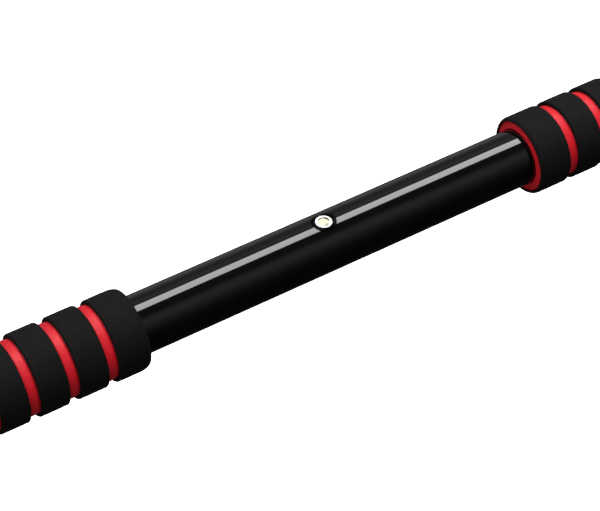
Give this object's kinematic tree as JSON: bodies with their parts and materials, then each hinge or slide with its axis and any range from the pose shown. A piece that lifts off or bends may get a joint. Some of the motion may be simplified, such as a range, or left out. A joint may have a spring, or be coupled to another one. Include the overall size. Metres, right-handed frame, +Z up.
{
  "type": "pull up bar",
  "caption": "Doorway pull-up bar: steel tube with a round level on top, ribbed foam grips, and threaded ends with swivel feet that turn out against the frame.",
  "frame": {"origin": "the middle of the bar, on its axis", "axes": "+X along the bar, +Z up through the level; -Y is the near side"},
  "size_m": [0.7, 0.076, 0.076],
  "materials": {
    "gloss_black_steel": "gloss black powder coat under clear lacquer",
    "level_black": "gloss",
    "level_white": "matte white",
    "level_clear": "clear",
    "level_liquid": "pale yellow-green fluid",
    "foam_red": "fine closed-cell foam",
    "foam_black": "fine closed-cell foam, matte",
    "zinc_steel": "zinc plated",
    "thread_steel": "bright plated",
    "spring_steel": "oiled dark",
    "screw_steel": "zinc plated",
    "natural_acetal": "satin natural",
    "lock_plastic": "fine-textured black",
    "foot_plastic": "fine-textured black",
    "pad_rubber": "matte"
  },
  "bodies": {
    "bar": {"centre_tube": "gloss_black_steel", "level_cup": "level_black", "level_reflector": "level_white", "level_vial": "level_clear", "level_fluid": "level_liquid", "left_grip_core": "foam_red", "left_grip_bands": "foam_black", "left_thread_nut": "zinc_steel", "left_nut_pins": "zinc_steel", "right_grip_core": "foam_red", "right_grip_bands": "foam_black", "right_thread_nut": "zinc_steel", "right_nut_pins": "zinc_steel"},
    "left_guide": {"left_guide_bush": "natural_acetal"},
    "left_screw": {"left_screw_tube": "thread_steel", "left_stop_clips": "spring_steel", "left_swivel_disc": "zinc_steel"},
    "left_foot": {"left_foot_shell": "foot_plastic", "left_thrust_washer": "natural_acetal", "left_retaining_plate": "zinc_steel", "left_foot_screws": "screw_steel", "left_foot_pad": "pad_rubber"},
    "left_washer": {"left_lock_washer": "zinc_steel"},
    "left_lock": {"left_lock_ring": "lock_plastic"},
    "right_guide": {"right_guide_bush": "natural_acetal"},
    "right_screw": {"right_screw_tube": "thread_steel", "right_stop_clips": "spring_steel", "right_swivel_disc": "zinc_steel"},
    "right_foot": {"right_foot_shell": "foot_plastic", "right_thrust_washer": "natural_acetal", "right_retaining_plate": "zinc_steel", "right_foot_screws": "screw_steel", "right_foot_pad": "pad_rubber"},
    "right_washer": {"right_lock_washer": "zinc_steel"},
    "right_lock": {"right_lock_ring": "lock_plastic"}
  },
  "joints": [
    {"name": "left_extend", "type": "slide", "parent": "bar", "child": "left_guide", "axis": [-1, 0, 0], "range_m": [0, 0.125]},
    {"name": "left_screw_turn", "type": "hinge", "parent": "left_guide", "child": "left_screw", "pos_m": [-0.129, 0, 0], "axis": [1, 0, 0], "range_deg": [0, 9000]},
    {"name": "left_foot_swivel", "type": "hinge", "parent": "left_screw", "child": "left_foot", "pos_m": [-0.34, 0, 0], "axis": [1, 0, 0], "continuous": true},
    {"name": "left_lock_travel", "type": "slide", "parent": "bar", "child": "left_washer", "axis": [-1, 0, 0], "range_m": [0, 0.005]},
    {"name": "left_lock_turn", "type": "hinge", "parent": "left_washer", "child": "left_lock", "pos_m": [-0.3128, 0, 0], "axis": [1, 0, 0], "range_deg": [0, 360]},
    {"name": "right_extend", "type": "slide", "parent": "bar", "child": "right_guide", "axis": [1, 0, 0], "range_m": [0, 0.125]},
    {"name": "right_screw_turn", "type": "hinge", "parent": "right_guide", "child": "right_screw", "pos_m": [0.129, 0, 0], "axis": [1, 0, 0], "range_deg": [0, 9000]},
    {"name": "right_foot_swivel", "type": "hinge", "parent": "right_screw", "child": "right_foot", "pos_m": [0.34, 0, 0], "axis": [1, 0, 0], "continuous": true},
    {"name": "right_lock_travel", "type": "slide", "parent": "bar", "child": "right_washer", "axis": [1, 0, 0], "range_m": [0, 0.005]},
    {"name": "right_lock_turn", "type": "hinge", "parent": "right_washer", "child": "right_lock", "pos_m": [0.3128, 0, 0], "axis": [1, 0, 0], "range_deg": [0, 360]}
  ],
  "couplings": [
    {"joint": "left_screw_turn", "follows": "left_extend", "rad_per_m": 1256.6},
    {"joint": "left_lock_turn", "follows": "left_lock_travel", "rad_per_m": 1256.6},
    {"joint": "right_screw_turn", "follows": "right_extend", "rad_per_m": 1256.6},
    {"joint": "right_lock_turn", "follows": "right_lock_travel", "rad_per_m": 1256.6}
  ]
}
